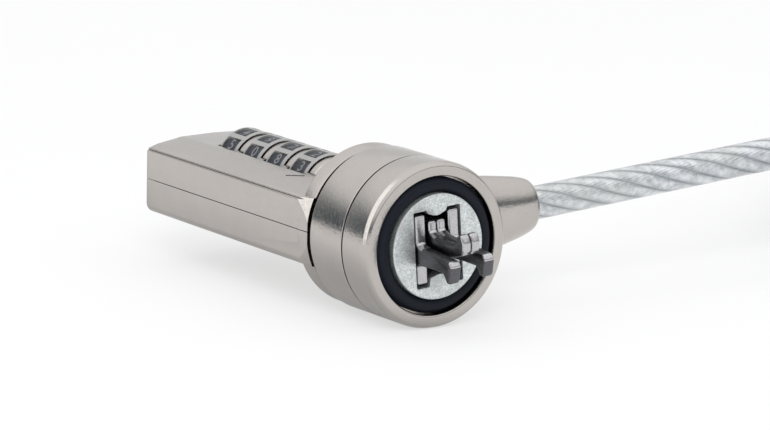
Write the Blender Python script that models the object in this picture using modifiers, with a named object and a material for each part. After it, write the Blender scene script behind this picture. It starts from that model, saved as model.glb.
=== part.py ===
"""Combination cable lock for a notebook's security slot, built as separate parts.

Everything is modelled in the lock's own frame: the head's axis is the Y axis, the rim that meets the
notebook lies at y = 0, the body runs back along +Y and the cable leaves along +X. Empties carry that
frame, the tilted hook unit and the swivel ring into the world, where the head stands on z = 0.
"""

import math

import bmesh
import bpy
from mathutils import Vector

MM = 0.001
GAP = 0.3 * MM  # running gap between neighbouring pieces

# head
HEAD_R = 10.4 * MM
COLLAR_END = 5.2 * MM
RING_START, RING_END = 5.5 * MM, 12.8 * MM
FLANGE_START, FLANGE_END = 13.2 * MM, 15.6 * MM
FLANGE_R = 10.15 * MM
CORE_R = 6.6 * MM
CORE_FACE, CORE_END = -0.4 * MM, 15.0 * MM
CORE_BORE = 5.5 * MM
RECESS_R = 8.65 * MM
RECESS_DEPTH = 1.9 * MM
HOOK_TILT = math.radians(5.0)  # the hook unit is turned this much about the head's axis

# body
BODY_HALF = 10.1 * MM
BODY_END = 52.6 * MM
BODY_FLOOR, BODY_SHOULDER, BODY_CREST = -4.25 * MM, 4.1 * MM, 5.45 * MM
SPLIT = 0.2 * MM  # height of the seam between the two shells

# combination dials
DIAL_Z = 2.9 * MM
DIAL_R, DIAL_WIDTH, DIAL_PITCH = 4.5 * MM, 3.9 * MM, 5.5 * MM
DIAL_FIRST = 25.5 * MM
DIAL_COUNT = 4
SLEEVE_R, SLEEVE_BORE, SLEEVE_LENGTH = 2.7 * MM, 1.8 * MM, 3.9 * MM
SPINDLE_R = 1.5 * MM
LUG_TOP = 1.68 * MM  # just under the sleeves' bore, so that the spindle slides at any dial setting

# push button and its travel
BUTTON_Z = 1.6 * MM
BUTTON_R, BUTTON_OUT = 2.3 * MM, 4.3 * MM
TRAVEL = 2.5 * MM

# scissor hooks
PIVOT_Y = 1.3 * MM
DRIVE_REACH = 6.5 * MM  # pivot pin to drive pin, hooks spread
PIN_R = 0.6 * MM
HOOK_SWING = math.radians(10.5)  # each way, from spread to closed
OUTER_FROM, OUTER_TO = 1.7 * MM, 3.2 * MM
INNER_FROM, INNER_TO = 0.08 * MM, 1.25 * MM

# swivel boss and cable
CABLE_R = 2.15 * MM
CABLE_Y = 9.2 * MM
BOSS_ANGLE = math.radians(4.4)  # the boss and the cable rise this much toward +X
BOSS_TIP = 21.8 * MM
FERRULE_END = 12.3 * MM
STRAIGHT_END = 58.0 * MM  # the cable runs straight to here, then turns into the coil
TURN_R = 19.1 * MM
COIL_C = Vector((101.6 * MM, 8.0 * MM))
COIL_MEAN_R = 24.0 * MM
COIL_PITCH = 4.35 * MM
COIL_COLUMNS, COIL_LAYERS = 3, 4
TIE_GAP = 1.0 * MM  # the coil rests on its ties
TAIL_ANGLE = math.radians(-30.0)  # where the cable's end leaves the coil
TAIL_LENGTH = 8.0 * MM
EYE_LENGTH, EYE_R = 42.0 * MM, 13.5 * MM
EYE_FERRULE = 12.0 * MM

# the lock frame's place in the world: the lock's box, without the cable, is centred on the origin
LOCK_AT = Vector((-5.13 * MM, -24.6 * MM, HEAD_R))

MATERIALS = {
    "nickel": ((0.62, 0.59, 0.56), 1.0, 0.24),
    "zinc": ((0.62, 0.65, 0.65), 1.0, 0.42),
    "steel": ((0.55, 0.55, 0.56), 1.0, 0.25),
    "rubber": ((0.012, 0.013, 0.02), 0.0, 0.5),
    "dial": ((0.45, 0.46, 0.47), 1.0, 0.3),
    "brass": ((0.66, 0.48, 0.2), 1.0, 0.35),
    "cable": ((0.62, 0.64, 0.65), 0.6, 0.3),
    "tie": ((0.02, 0.02, 0.022), 0.0, 0.6),
}


def clear_scene():
    for obj in list(bpy.data.objects):
        bpy.data.objects.remove(obj, do_unlink=True)


def collection(name, hidden=False):
    coll = bpy.data.collections.new(name)
    bpy.context.scene.collection.children.link(coll)
    coll.hide_render = hidden
    return coll


def material(name):
    found = bpy.data.materials.get(name)
    if found:
        return found
    color, metallic, roughness = MATERIALS[name]
    made = bpy.data.materials.new(name)
    made.use_nodes = True
    shader = made.node_tree.nodes["Principled BSDF"]
    shader.inputs["Base Color"].default_value = (*color, 1)
    shader.inputs["Metallic"].default_value = metallic
    shader.inputs["Roughness"].default_value = roughness
    return made


def frame(name, location=(0, 0, 0), turn_y=0.0, parent=None):
    empty = bpy.data.objects.new(name, None)
    PARTS.objects.link(empty)
    empty.location = location
    empty.rotation_euler = (0, turn_y, 0)
    empty.parent = parent
    return empty


def place(name, bm, parent, slot, coll=None):
    """Make an object of a bmesh that is drawn in its parent's frame."""
    bmesh.ops.recalc_face_normals(bm, faces=bm.faces)
    mesh = bpy.data.meshes.new(name)
    bm.to_mesh(mesh)
    bm.free()
    obj = bpy.data.objects.new(name, mesh)
    (coll or PARTS).objects.link(obj)
    obj.parent = parent
    if slot:
        mesh.materials.append(material(slot))
    return obj


def add_lathe(bm, outline, along="Y", centre=(0, 0, 0), steps=64):
    """Sweep (radius, position) points about an axis: a closed outline, or one from axis to axis."""
    solid = outline[0][0] == 0
    line = outline[1:-1] if solid else outline
    rings = []
    for k in range(steps):
        a = 2 * math.pi * k / steps
        ring = []
        for r, t in line:
            u, v = r * math.cos(a), r * math.sin(a)
            spot = {"X": (t, u, v), "Y": (v, t, u), "Z": (u, v, t)}[along]
            ring.append(bm.verts.new(Vector(spot) + Vector(centre)))
        rings.append(ring)
    for k in range(steps):
        here, there = rings[k], rings[(k + 1) % steps]
        for i in range(len(line) - 1 if solid else len(line)):
            j = (i + 1) % len(line)
            bm.faces.new((here[i], here[j], there[j], there[i]))
    if solid:
        bm.faces.new([ring[0] for ring in rings])
        bm.faces.new([ring[-1] for ring in rings])


def lathe(name, outline, parent, slot, along="Y", centre=(0, 0, 0), steps=64, coll=None):
    bm = bmesh.new()
    add_lathe(bm, outline, along, centre, steps)
    return place(name, bm, parent, slot, coll)


def rod(name, radius, start, end, parent, slot, along="Y", centre=(0, 0, 0), steps=48, coll=None):
    outline = [(0, start), (radius, start), (radius, end), (0, end)]
    return lathe(name, outline, parent, slot, along, centre, steps, coll)


def tube(name, r_in, r_out, start, end, parent, slot, along="Y", centre=(0, 0, 0), steps=64, coll=None):
    outline = [(r_in, start), (r_out, start), (r_out, end), (r_in, end)]
    return lathe(name, outline, parent, slot, along, centre, steps, coll)


def add_box(bm, low, high):
    low, high = Vector(low), Vector(high)
    made = bmesh.ops.create_cube(bm, size=1.0)
    for vert in made["verts"]:
        vert.co = low + Vector((vert.co[i] + 0.5) * (high[i] - low[i]) for i in range(3))


def box(name, low, high, parent, slot, coll=None):
    bm = bmesh.new()
    add_box(bm, low, high)
    return place(name, bm, parent, slot, coll)


def slab(name, outline, start, end, parent, slot, along="X", coll=None):
    """Extrude a closed outline: (y, z) points along X, or (x, z) points along Y."""
    bm = bmesh.new()
    sides = []
    for t in (start, end):
        spots = [(t, a, b) if along == "X" else (a, t, b) for a, b in outline]
        sides.append([bm.verts.new(spot) for spot in spots])
    bm.faces.new(sides[0])
    bm.faces.new(list(reversed(sides[1])))
    for i in range(len(outline)):
        j = (i + 1) % len(outline)
        bm.faces.new((sides[0][i], sides[0][j], sides[1][j], sides[1][i]))
    return place(name, bm, parent, slot, coll)


def combine(target, tool, operation):
    modifier = target.modifiers.new(tool.name, "BOOLEAN")
    modifier.operation = operation
    modifier.solver = "EXACT"
    modifier.object = tool
    tool.display_type = "WIRE"
    return target


def cut(target, *tools):
    for tool in tools:
        combine(target, tool, "DIFFERENCE")
    return target


def add(target, *tools):
    for tool in tools:
        combine(target, tool, "UNION")
    return target


def soften(obj, width, segments=2):
    modifier = obj.modifiers.new("soft_edges", "BEVEL")
    modifier.width = width
    modifier.segments = segments
    modifier.limit_method = "ANGLE"
    modifier.angle_limit = math.radians(40)
    return obj


def arc(radius, start, end, count, centre=(0, 0)):
    """Points of an arc, angles in degrees."""
    turn = (math.radians(start + (end - start) * k / (count - 1)) for k in range(count))
    return [(centre[0] + radius * math.cos(a), centre[1] + radius * math.sin(a)) for a in turn]


def build_head(lock):
    """Collar, rubber ring, core and clip: the fixed parts of the head."""
    rim = 0.55 * MM
    lathe("front_collar", [
        (CORE_R + GAP, RECESS_DEPTH), (RECESS_R, RECESS_DEPTH), (RECESS_R, 0.25 * MM),
        (RECESS_R + 0.2 * MM, 0), (HEAD_R - rim, 0), (HEAD_R - 0.16 * MM, 0.16 * MM),
        (HEAD_R, rim), (HEAD_R, COLLAR_END), (CORE_R + GAP, COLLAR_END),
    ], lock, "nickel", steps=96)
    pad = RECESS_R - GAP
    lathe("rubber_ring", [
        (CORE_R + GAP, RECESS_DEPTH - GAP), (CORE_R + GAP, 0.35 * MM), (CORE_R + 0.6 * MM, 0.1 * MM),
        (pad - 0.4 * MM, 0.1 * MM), (pad, 0.4 * MM), (pad, RECESS_DEPTH - GAP),
    ], lock, "rubber", steps=96)
    lathe("retaining_clip", [
        (6.25 * MM, FLANGE_START), (7.6 * MM, FLANGE_START), (7.6 * MM, FLANGE_START + 0.6 * MM),
        (6.25 * MM, FLANGE_START + 0.6 * MM),
    ], lock, "steel", steps=64)


def build_core(hooks):
    """The round core that carries the hooks: a disc with a bow-tie slot on a hollow stem."""
    groove = FLANGE_START - GAP
    core = lathe("hook_core", [
        (0, CORE_FACE), (CORE_R - 0.2 * MM, CORE_FACE), (CORE_R, CORE_FACE + 0.2 * MM),
        (CORE_R, groove), (5.95 * MM, groove), (5.95 * MM, groove + 1.2 * MM),
        (CORE_R, groove + 1.2 * MM), (CORE_R, CORE_END), (CORE_BORE, CORE_END),
        (CORE_BORE, 3.0 * MM), (0, 3.0 * MM),
    ], hooks, "zinc", steps=96)
    half, tall = 3.45 * MM, 4.8 * MM
    slot = slab("core_slot", [
        (-half, -tall), (-1.55 * MM, -tall), (-1.35 * MM, -3.7 * MM), (0, -3.4 * MM),
        (1.35 * MM, -3.7 * MM), (1.55 * MM, -tall), (half, -tall), (half, tall),
        (1.55 * MM, tall), (1.3 * MM, 4.35 * MM), (0, 3.85 * MM), (-1.3 * MM, 4.35 * MM),
        (-1.55 * MM, tall), (-half, tall),
    ], -1 * MM, 3.6 * MM, hooks, None, "Y", CUTTERS)
    bore = rod("pivot_bore", PIN_R, -8 * MM, 8 * MM, hooks, None, "X", (0, PIVOT_Y, 0), 24, CUTTERS)
    cut(core, slot, bore)
    return core


def drive_slot(sign):
    """The cam slot in a hook plate, round the drive pin's path in the plate's own frame."""
    half = PIN_R + 0.3 * MM
    steps = 8
    path = []
    for k in range(steps + 1):
        travel = -half + (TRAVEL + 2 * half) * k / steps
        turn = sign * HOOK_SWING * travel / TRAVEL
        reach = DRIVE_REACH - travel
        path.append((PIVOT_Y + reach * math.cos(turn), reach * math.sin(turn)))
    upper = [(y, z + half) for y, z in path]
    lower = [(y, z - half) for y, z in reversed(path)]
    return lower + upper


def hook_plate(name, outline, sign, start, end, hooks):
    """One stamped hook plate with its pivot hole and cam slot."""
    plate = slab(name, outline, start, end, hooks, "steel")
    reach = (start - MM, end + MM)
    hole = rod(name + "_hole", PIN_R + 0.25 * MM, *reach, hooks, None, "X", (0, PIVOT_Y, 0), 24, CUTTERS)
    slot = slab(name + "_slot", drive_slot(sign), *reach, hooks, None, "X", CUTTERS)
    cut(plate, hole, slot)
    return plate


def build_hooks(hooks):
    """Outer plates whose claws point down, inner plates whose claws point up."""
    face = CORE_FACE + 0.05 * MM
    tail = PIVOT_Y + DRIVE_REACH + 1.7 * MM
    outer = [(y * MM, z * MM) for y, z in (
        (-0.55, 0.62), (-1.6, 0.42), (-3.6, 0.22), (-6.3, 0.02), (-7.1, -0.12), (-7.55, -0.5),
        (-7.7, -1.3), (-7.6, -2.3), (-7.35, -2.8), (-6.6, -2.85), (-6.1, -2.45), (-5.85, -1.95),
        (-5.5, -1.75), (-3.0, -1.72), (-0.8, -1.75),
    )]
    outer += [(face, -1.95 * MM), (face, -4.3 * MM), (1.6 * MM, -4.3 * MM), (2.2 * MM, -1.9 * MM)]
    outer += [(tail, -1.9 * MM), (tail, 2.5 * MM), (2.2 * MM, 2.5 * MM), (1.6 * MM, 4.3 * MM)]
    outer += [(face, 4.3 * MM), (face, 0.95 * MM)]
    inner = [(y * MM, z * MM) for y, z in (
        (-0.6, 1.95), (-1.6, 1.6), (-3.0, 1.4), (-4.6, 1.38), (-5.5, 1.6), (-6.0, 2.15),
        (-6.3, 2.75), (-6.75, 2.95), (-7.3, 2.7), (-7.6, 1.9), (-7.55, 1.0), (-7.2, 0.45),
        (-6.3, 0.05), (-4.5, -0.45), (-2.0, -0.9), (-0.7, -1.1),
    )]
    inner += [(face, -1.4 * MM), (face, -2.4 * MM), (1.6 * MM, -2.4 * MM)]
    inner += [(tail, -2.5 * MM), (tail, 1.9 * MM), (1.6 * MM, 3.3 * MM)]
    inner += [(face, 3.35 * MM), (face, 2.2 * MM)]
    hook_plate("hook_outer_left", outer, 1, -OUTER_TO, -OUTER_FROM, hooks)
    hook_plate("hook_outer_right", outer, 1, OUTER_FROM, OUTER_TO, hooks)
    hook_plate("hook_inner_left", inner, -1, -INNER_TO, -INNER_FROM, hooks)
    hook_plate("hook_inner_right", inner, -1, INNER_FROM, INNER_TO, hooks)
    rod("pivot_pin", PIN_R - 0.05 * MM, -6.2 * MM, 6.2 * MM, hooks, "steel", "X", (0, PIVOT_Y, 0), 24)
    drive = PIVOT_Y + DRIVE_REACH
    rod("drive_pin", PIN_R, -4.3 * MM, 4.3 * MM, hooks, "steel", "X", (0, drive, 0), 24)


def build_drive(lock, hooks):
    """Yoke, spindle, push button and return spring: everything that slides when the button is pressed."""
    drive = PIVOT_Y + DRIVE_REACH
    bridge = drive + TRAVEL + 2.35 * MM
    yoke = box("drive_yoke", (-4.6 * MM, bridge, -1.3 * MM), (4.6 * MM, bridge + 1.2 * MM, 1.3 * MM),
               hooks, "zinc")
    for side in (-1, 1):
        inside, outside = sorted((side * 3.55 * MM, side * 4.6 * MM))
        cheek = box(f"yoke_cheek_{side}", (inside, drive - 1.2 * MM, -1.2 * MM),
                    (outside, bridge + 0.6 * MM, 1.2 * MM), hooks, None, CUTTERS)
        add(yoke, cheek)
    neck = box("yoke_neck", (-1.2 * MM, bridge + 0.1 * MM, 0.2 * MM),
               (1.2 * MM, bridge + 1.1 * MM, 4.2 * MM), hooks, None, CUTTERS)
    pin_hole = rod("yoke_pin_hole", PIN_R + GAP, -6 * MM, 6 * MM, hooks, None, "X", (0, drive, 0), 24, CUTTERS)
    add(yoke, neck)
    cut(yoke, pin_hole)

    start, neck_at, end = bridge + 1.2 * MM + GAP, 45.4 * MM, 48.6 * MM
    bm = bmesh.new()
    outline = [(0, start), (SPINDLE_R, start), (SPINDLE_R, neck_at), (0.8 * MM, neck_at), (0.8 * MM, end),
               (0, end)]
    add_lathe(bm, outline, centre=(0, 0, DIAL_Z), steps=48)
    spindle = place("spindle", bm, lock, "steel")
    for n in range(DIAL_COUNT):
        middle = DIAL_FIRST + n * DIAL_PITCH + DIAL_PITCH / 2
        lug = box(f"lug_{n}", (-0.35 * MM, middle - 0.4 * MM, DIAL_Z + MM),
                  (0.35 * MM, middle + 0.4 * MM, DIAL_Z + LUG_TOP), lock, None, CUTTERS)
        add(spindle, lug)

    stop, face, outside = 47.9 * MM, 49.4 * MM, BODY_END + BUTTON_OUT
    button = lathe("push_button", [
        (0, stop), (2.8 * MM, stop), (2.8 * MM, face), (BUTTON_R, face), (BUTTON_R, outside - 0.6 * MM),
        (BUTTON_R - 0.2 * MM, outside - 0.15 * MM), (BUTTON_R - 0.6 * MM, outside), (0, outside),
    ], lock, "nickel", centre=(0, 0, BUTTON_Z), steps=64)
    socket = rod("spindle_socket", 0.8 * MM + GAP, stop - MM, end + GAP, lock, None,
                 centre=(0, 0, DIAL_Z), steps=32, coll=CUTTERS)
    cut(button, socket)

    coils, wire, mean = 5, 0.18 * MM, 1.35 * MM
    first, last = 45.6 * MM, stop - wire - 0.2 * MM
    count = coils * 14
    spots = []
    for k in range(count + 1):
        a = 2 * math.pi * k / 14
        spots.append((mean * math.cos(a), first + (last - first) * k / count, DIAL_Z + mean * math.sin(a)))
    wire_path("return_spring", spots, wire, lock, "steel", 1)


def wire_path(name, spots, radius, parent, slot, resolution=2):
    """A round wire or cable along points, with closed ends."""
    data = bpy.data.curves.new(name, "CURVE")
    data.dimensions = "3D"
    data.bevel_depth = radius
    data.bevel_resolution = resolution
    data.use_fill_caps = True
    line = data.splines.new("POLY")
    line.points.add(len(spots) - 1)
    for point, spot in zip(line.points, spots):
        point.co = (*spot, 1)
    obj = bpy.data.objects.new(name, data)
    PARTS.objects.link(obj)
    obj.parent = parent
    data.materials.append(material(slot))
    return obj


def shell_outline(ridge, inset=0.0):
    """The body's cross-section as (x, z): a crest of half-width ridge, all drawn in by inset."""
    wide, low = BODY_HALF - inset, BODY_FLOOR + inset
    high, shoulder = BODY_CREST - inset, BODY_SHOULDER - inset
    half = [(wide - 1.2 * MM, low), (wide - 0.35 * MM, low + 0.35 * MM), (wide, low + 1.2 * MM),
            (wide, shoulder - 0.25 * MM), (wide - 0.25 * MM, shoulder + 0.1 * MM),
            (ridge + 1.2 * MM, high - 0.35 * MM), (ridge, high - 0.12 * MM), (ridge - 1.2 * MM, high - 0.03 * MM)]
    return half + [(0, high)] + [(-x, z) for x, z in reversed(half)]


def shell_block(name, lock):
    """The solid body, lofted back along Y: a crest that widens, a flared front and a rounded rear end."""
    slim, wide = 3.6 * MM, 4.9 * MM
    stations = [(FLANGE_START + 0.2 * MM, slim, 0.0), (34 * MM, slim, 0.0), (48.5 * MM, wide, 0.0),
                (BODY_END - 1.2 * MM, wide, 0.0), (BODY_END - 0.7 * MM, wide, 0.1 * MM),
                (BODY_END - 0.3 * MM, wide, 0.3 * MM), (BODY_END - 0.08 * MM, wide, 0.65 * MM),
                (BODY_END, wide, 1.0 * MM)]
    bm = bmesh.new()
    rings = [[bm.verts.new((x, y, z)) for x, z in shell_outline(ridge, inset)] for y, ridge, inset in stations]
    bm.faces.new(rings[0])
    bm.faces.new(list(reversed(rings[-1])))
    for here, there in zip(rings, rings[1:]):
        for i in range(len(here)):
            j = (i + 1) % len(here)
            bm.faces.new((here[i], here[j], there[j], there[i]))
    block = place(name, bm, lock, "nickel")
    start = FLANGE_START + 0.2 * MM
    flare = [(0, start - MM), (HEAD_R - 0.855 * MM, start - MM), (HEAD_R + 14.93 * MM, start + 40 * MM),
             (0, start + 40 * MM)]
    return combine(block, lathe(name + "_flare", flare, lock, None, steps=96, coll=CUTTERS), "INTERSECT")


def keep_half(shell, top, lock):
    """Cut a whole body down to the half above or below the seam."""
    side = 1 if top else -1
    level = SPLIT + side * GAP / 2
    low, high = sorted((level, level + side * 30 * MM))
    half = box(shell.name + "_half", (-30 * MM, 0, low), (30 * MM, 80 * MM, high), lock, None, CUTTERS)
    return combine(shell, half, "INTERSECT")


def stepped_room(name, steps_out, parent, centre_z, sides=64):
    """A round stepped cutter: (radius, start of that radius) in order, then the end."""
    outline = [(0, steps_out[0][1])]
    for (radius, start), (_, end) in zip(steps_out, steps_out[1:]):
        outline += [(radius, start), (radius, end)]
    outline.append((0, steps_out[-1][1]))
    return lathe(name, outline, parent, None, centre=(0, 0, centre_z), steps=sides, coll=CUTTERS)


def build_shells(lock):
    """The two die-cast halves of the body, with the flange that closes the head."""
    last = DIAL_FIRST + (DIAL_COUNT - 1) * DIAL_PITCH
    room = DIAL_WIDTH / 2 + 0.15 * MM
    bore = [(SPINDLE_R + GAP, 12 * MM), (SLEEVE_R + GAP, 22.4 * MM)]
    for n in range(DIAL_COUNT):
        middle = DIAL_FIRST + n * DIAL_PITCH
        bore += [(DIAL_R + GAP, middle - room), (SLEEVE_R + GAP, middle + room)]
    dial_room = stepped_room("dial_room", bore + [(0, 45.6 * MM)], lock, DIAL_Z)
    core_room = stepped_room("core_room", [
        (7.9 * MM, 10 * MM), (CORE_R + GAP, FLANGE_START + 0.6 * MM + GAP), (0, CORE_END + GAP),
    ], lock, 0, 96)
    button_room = stepped_room("button_room", [
        (3.1 * MM, 45.2 * MM), (BUTTON_R + GAP, 49.7 * MM), (0, 60 * MM),
    ], lock, BUTTON_Z)
    leaf_room = box("leaf_room", (-2.4 * MM, 22.7 * MM, -3.25 * MM), (2.4 * MM, 45 * MM, -0.6 * MM), lock,
                    None, CUTTERS)
    pins = [(x, y) for x in (-7 * MM, 7 * MM) for y in (19.2 * MM, 48.6 * MM)]
    pin_rooms = [rod(f"pin_room_{i}", 0.8 * MM + GAP, -2.6 * MM, 2.7 * MM, lock, None, "Z", (x, y, 0), 32,
                     CUTTERS) for i, (x, y) in enumerate(pins)]

    flange = [(0, FLANGE_START), (FLANGE_R - 0.15 * MM, FLANGE_START), (FLANGE_R, FLANGE_START + 0.15 * MM),
              (FLANGE_R, FLANGE_END - 0.3 * MM), (FLANGE_R - 0.3 * MM, FLANGE_END), (0, FLANGE_END)]
    ends = (DIAL_FIRST - DIAL_WIDTH / 2 - 1.35 * MM, last + DIAL_WIDTH / 2 + 0.6 * MM)
    hood = [(0, ends[0] - 0.9 * MM), (3.4 * MM, ends[0] - 0.9 * MM), (4.15 * MM, ends[0]),
            (4.15 * MM, ends[1]), (3.4 * MM, ends[1] + 0.7 * MM), (0, ends[1] + 0.7 * MM)]
    for top, name in ((False, "lower_shell"), (True, "upper_shell")):
        shell = shell_block(name, lock)
        add(shell, lathe(name + "_flange", flange, lock, None, steps=96, coll=CUTTERS))
        if top:
            add(shell, lathe("dial_hood", hood, lock, None, centre=(0, 0, DIAL_Z), coll=CUTTERS))
        keep_half(shell, top, lock)
        cut(shell, button_room, core_room, *pin_rooms, dial_room)
        if not top:
            cut(shell, leaf_room)
    for i, (x, y) in enumerate(pins):
        rod(f"shell_pin_{i + 1}", 0.8 * MM, -2.3 * MM, 2.4 * MM, lock, "steel", "Z", (x, y, 0), 24)


def build_dials(lock):
    """Four numbered dials, each on the notched sleeve that its number releases."""
    cells = 10
    for n in range(DIAL_COUNT):
        middle = DIAL_FIRST + n * DIAL_PITCH
        axis = frame(f"dial_axis_{n + 1}", (0, middle, DIAL_Z), parent=lock)
        outline = []
        for c in range(cells):
            turn = 360 / cells
            start = c * turn + 16.8
            outline += arc(DIAL_R, start, start + turn - 6.4, 5)
            low = math.radians(start + turn - 3.2)
            outline.append((DIAL_R * 0.93 * math.cos(low), DIAL_R * 0.93 * math.sin(low)))
        half = DIAL_WIDTH / 2
        dial = slab(f"dial_{n + 1}", outline, -half, half, axis, "dial", "Y")
        hole = rod(f"dial_hole_{n}", SLEEVE_R + GAP, -5 * MM, 5 * MM, axis, None, steps=48, coll=CUTTERS)
        cut(dial, hole)
        sleeve = tube(f"code_sleeve_{n + 1}", SLEEVE_BORE, SLEEVE_R, -SLEEVE_LENGTH / 2, SLEEVE_LENGTH / 2,
                      axis, "brass", steps=48)
        notch = box(f"sleeve_notch_{n}", (-0.6 * MM, -5 * MM, 0.5 * MM), (0.6 * MM, 5 * MM, 2.4 * MM), axis,
                    None, CUTTERS)
        cut(sleeve, notch)

    start, end, thick = 23.1 * MM, 44.6 * MM, 0.3 * MM
    low = -3.0 * MM
    outline = [(end, low), (start, low), (start, low + thick)]
    for n in range(DIAL_COUNT):
        middle = DIAL_FIRST + n * DIAL_PITCH
        outline += [(middle - 1.3 * MM, low + thick), (middle - 0.4 * MM, low + 0.75 * MM),
                    (middle + 0.4 * MM, low + 0.75 * MM), (middle + 1.3 * MM, low + thick)]
    outline.append((end, low + thick))
    slab("detent_spring", outline, -1.6 * MM, 1.6 * MM, lock, "steel")


def build_swivel(swivel):
    """The ring that turns on the core, with the boss that grips the cable."""
    edge = 0.12 * MM
    ring = lathe("swivel_ring", [
        (CORE_R + GAP, RING_START), (HEAD_R - edge, RING_START), (HEAD_R, RING_START + edge),
        (HEAD_R, RING_END - 0.4 * MM), (HEAD_R - 0.4 * MM, RING_END), (CORE_R + GAP, RING_END),
    ], swivel, "nickel", steps=96)
    stations = [(7.5, 3.5, 5.3), (10.5, 3.5, 5.25), (13.0, 3.5, 4.95), (15.8, 3.4, 4.45), (18.2, 3.2, 3.98),
                (19.6, 2.98, 3.6), (20.2, 2.8, 3.3), (20.45, 2.7, 3.1), (20.5, 2.6, 2.9)]
    steps = 40
    bm = bmesh.new()
    rings = []
    for x, wide, tall in stations:
        turns = [2 * math.pi * k / steps for k in range(steps)]
        rings.append([bm.verts.new((x * MM, CABLE_Y + wide * MM * math.cos(a), tall * MM * math.sin(a)))
                      for a in turns])
    bm.faces.new(list(reversed(rings[0])))
    bm.faces.new(rings[-1])
    for here, there in zip(rings, rings[1:]):
        for i in range(steps):
            j = (i + 1) % steps
            bm.faces.new((here[i], here[j], there[j], there[i]))
    boss = place("boss", bm, swivel, None, CUTTERS)
    axis = (0, CABLE_Y, 0)
    bore = rod("ring_bore", CORE_R + GAP, 4 * MM, 15 * MM, swivel, None, steps=96, coll=CUTTERS)
    hole = rod("cable_hole", CABLE_R + GAP, 5 * MM, 30 * MM, swivel, None, "X", axis, 40, CUTTERS)
    chamber = rod("ferrule_room", 3.2 * MM, 5 * MM, FERRULE_END + GAP, swivel, None, "X", axis, 40, CUTTERS)
    add(ring, boss)
    cut(ring, bore, hole, chamber)
    rod("cable_ferrule", 2.9 * MM, 7.7 * MM, FERRULE_END, swivel, "steel", "X", axis, 40)


def smooth_path(points, spacing):
    """Evenly spaced points on a Catmull-Rom curve through a route's points."""
    dense = []
    ends = [points[0] * 2 - points[1], *points, points[-1] * 2 - points[-2]]
    for a, b, c, d in zip(ends, ends[1:], ends[2:], ends[3:]):
        for k in range(24):
            t = k / 24
            dense.append(0.5 * (2 * b + (c - a) * t + (2 * a - 5 * b + 4 * c - d) * t * t
                                + (3 * b - a - 3 * c + d) * t ** 3))
    dense.append(points[-1])
    lengths = [0.0]
    for a, b in zip(dense, dense[1:]):
        lengths.append(lengths[-1] + (b - a).length)
    count = max(2, round(lengths[-1] / spacing))
    out, i = [], 0
    for k in range(count + 1):
        want = lengths[-1] * k / count
        while i < len(dense) - 2 and lengths[i + 1] < want:
            i += 1
        part = (want - lengths[i]) / (lengths[i + 1] - lengths[i])
        out.append(dense[i].lerp(dense[i + 1], min(1.0, part)))
    return out


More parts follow.
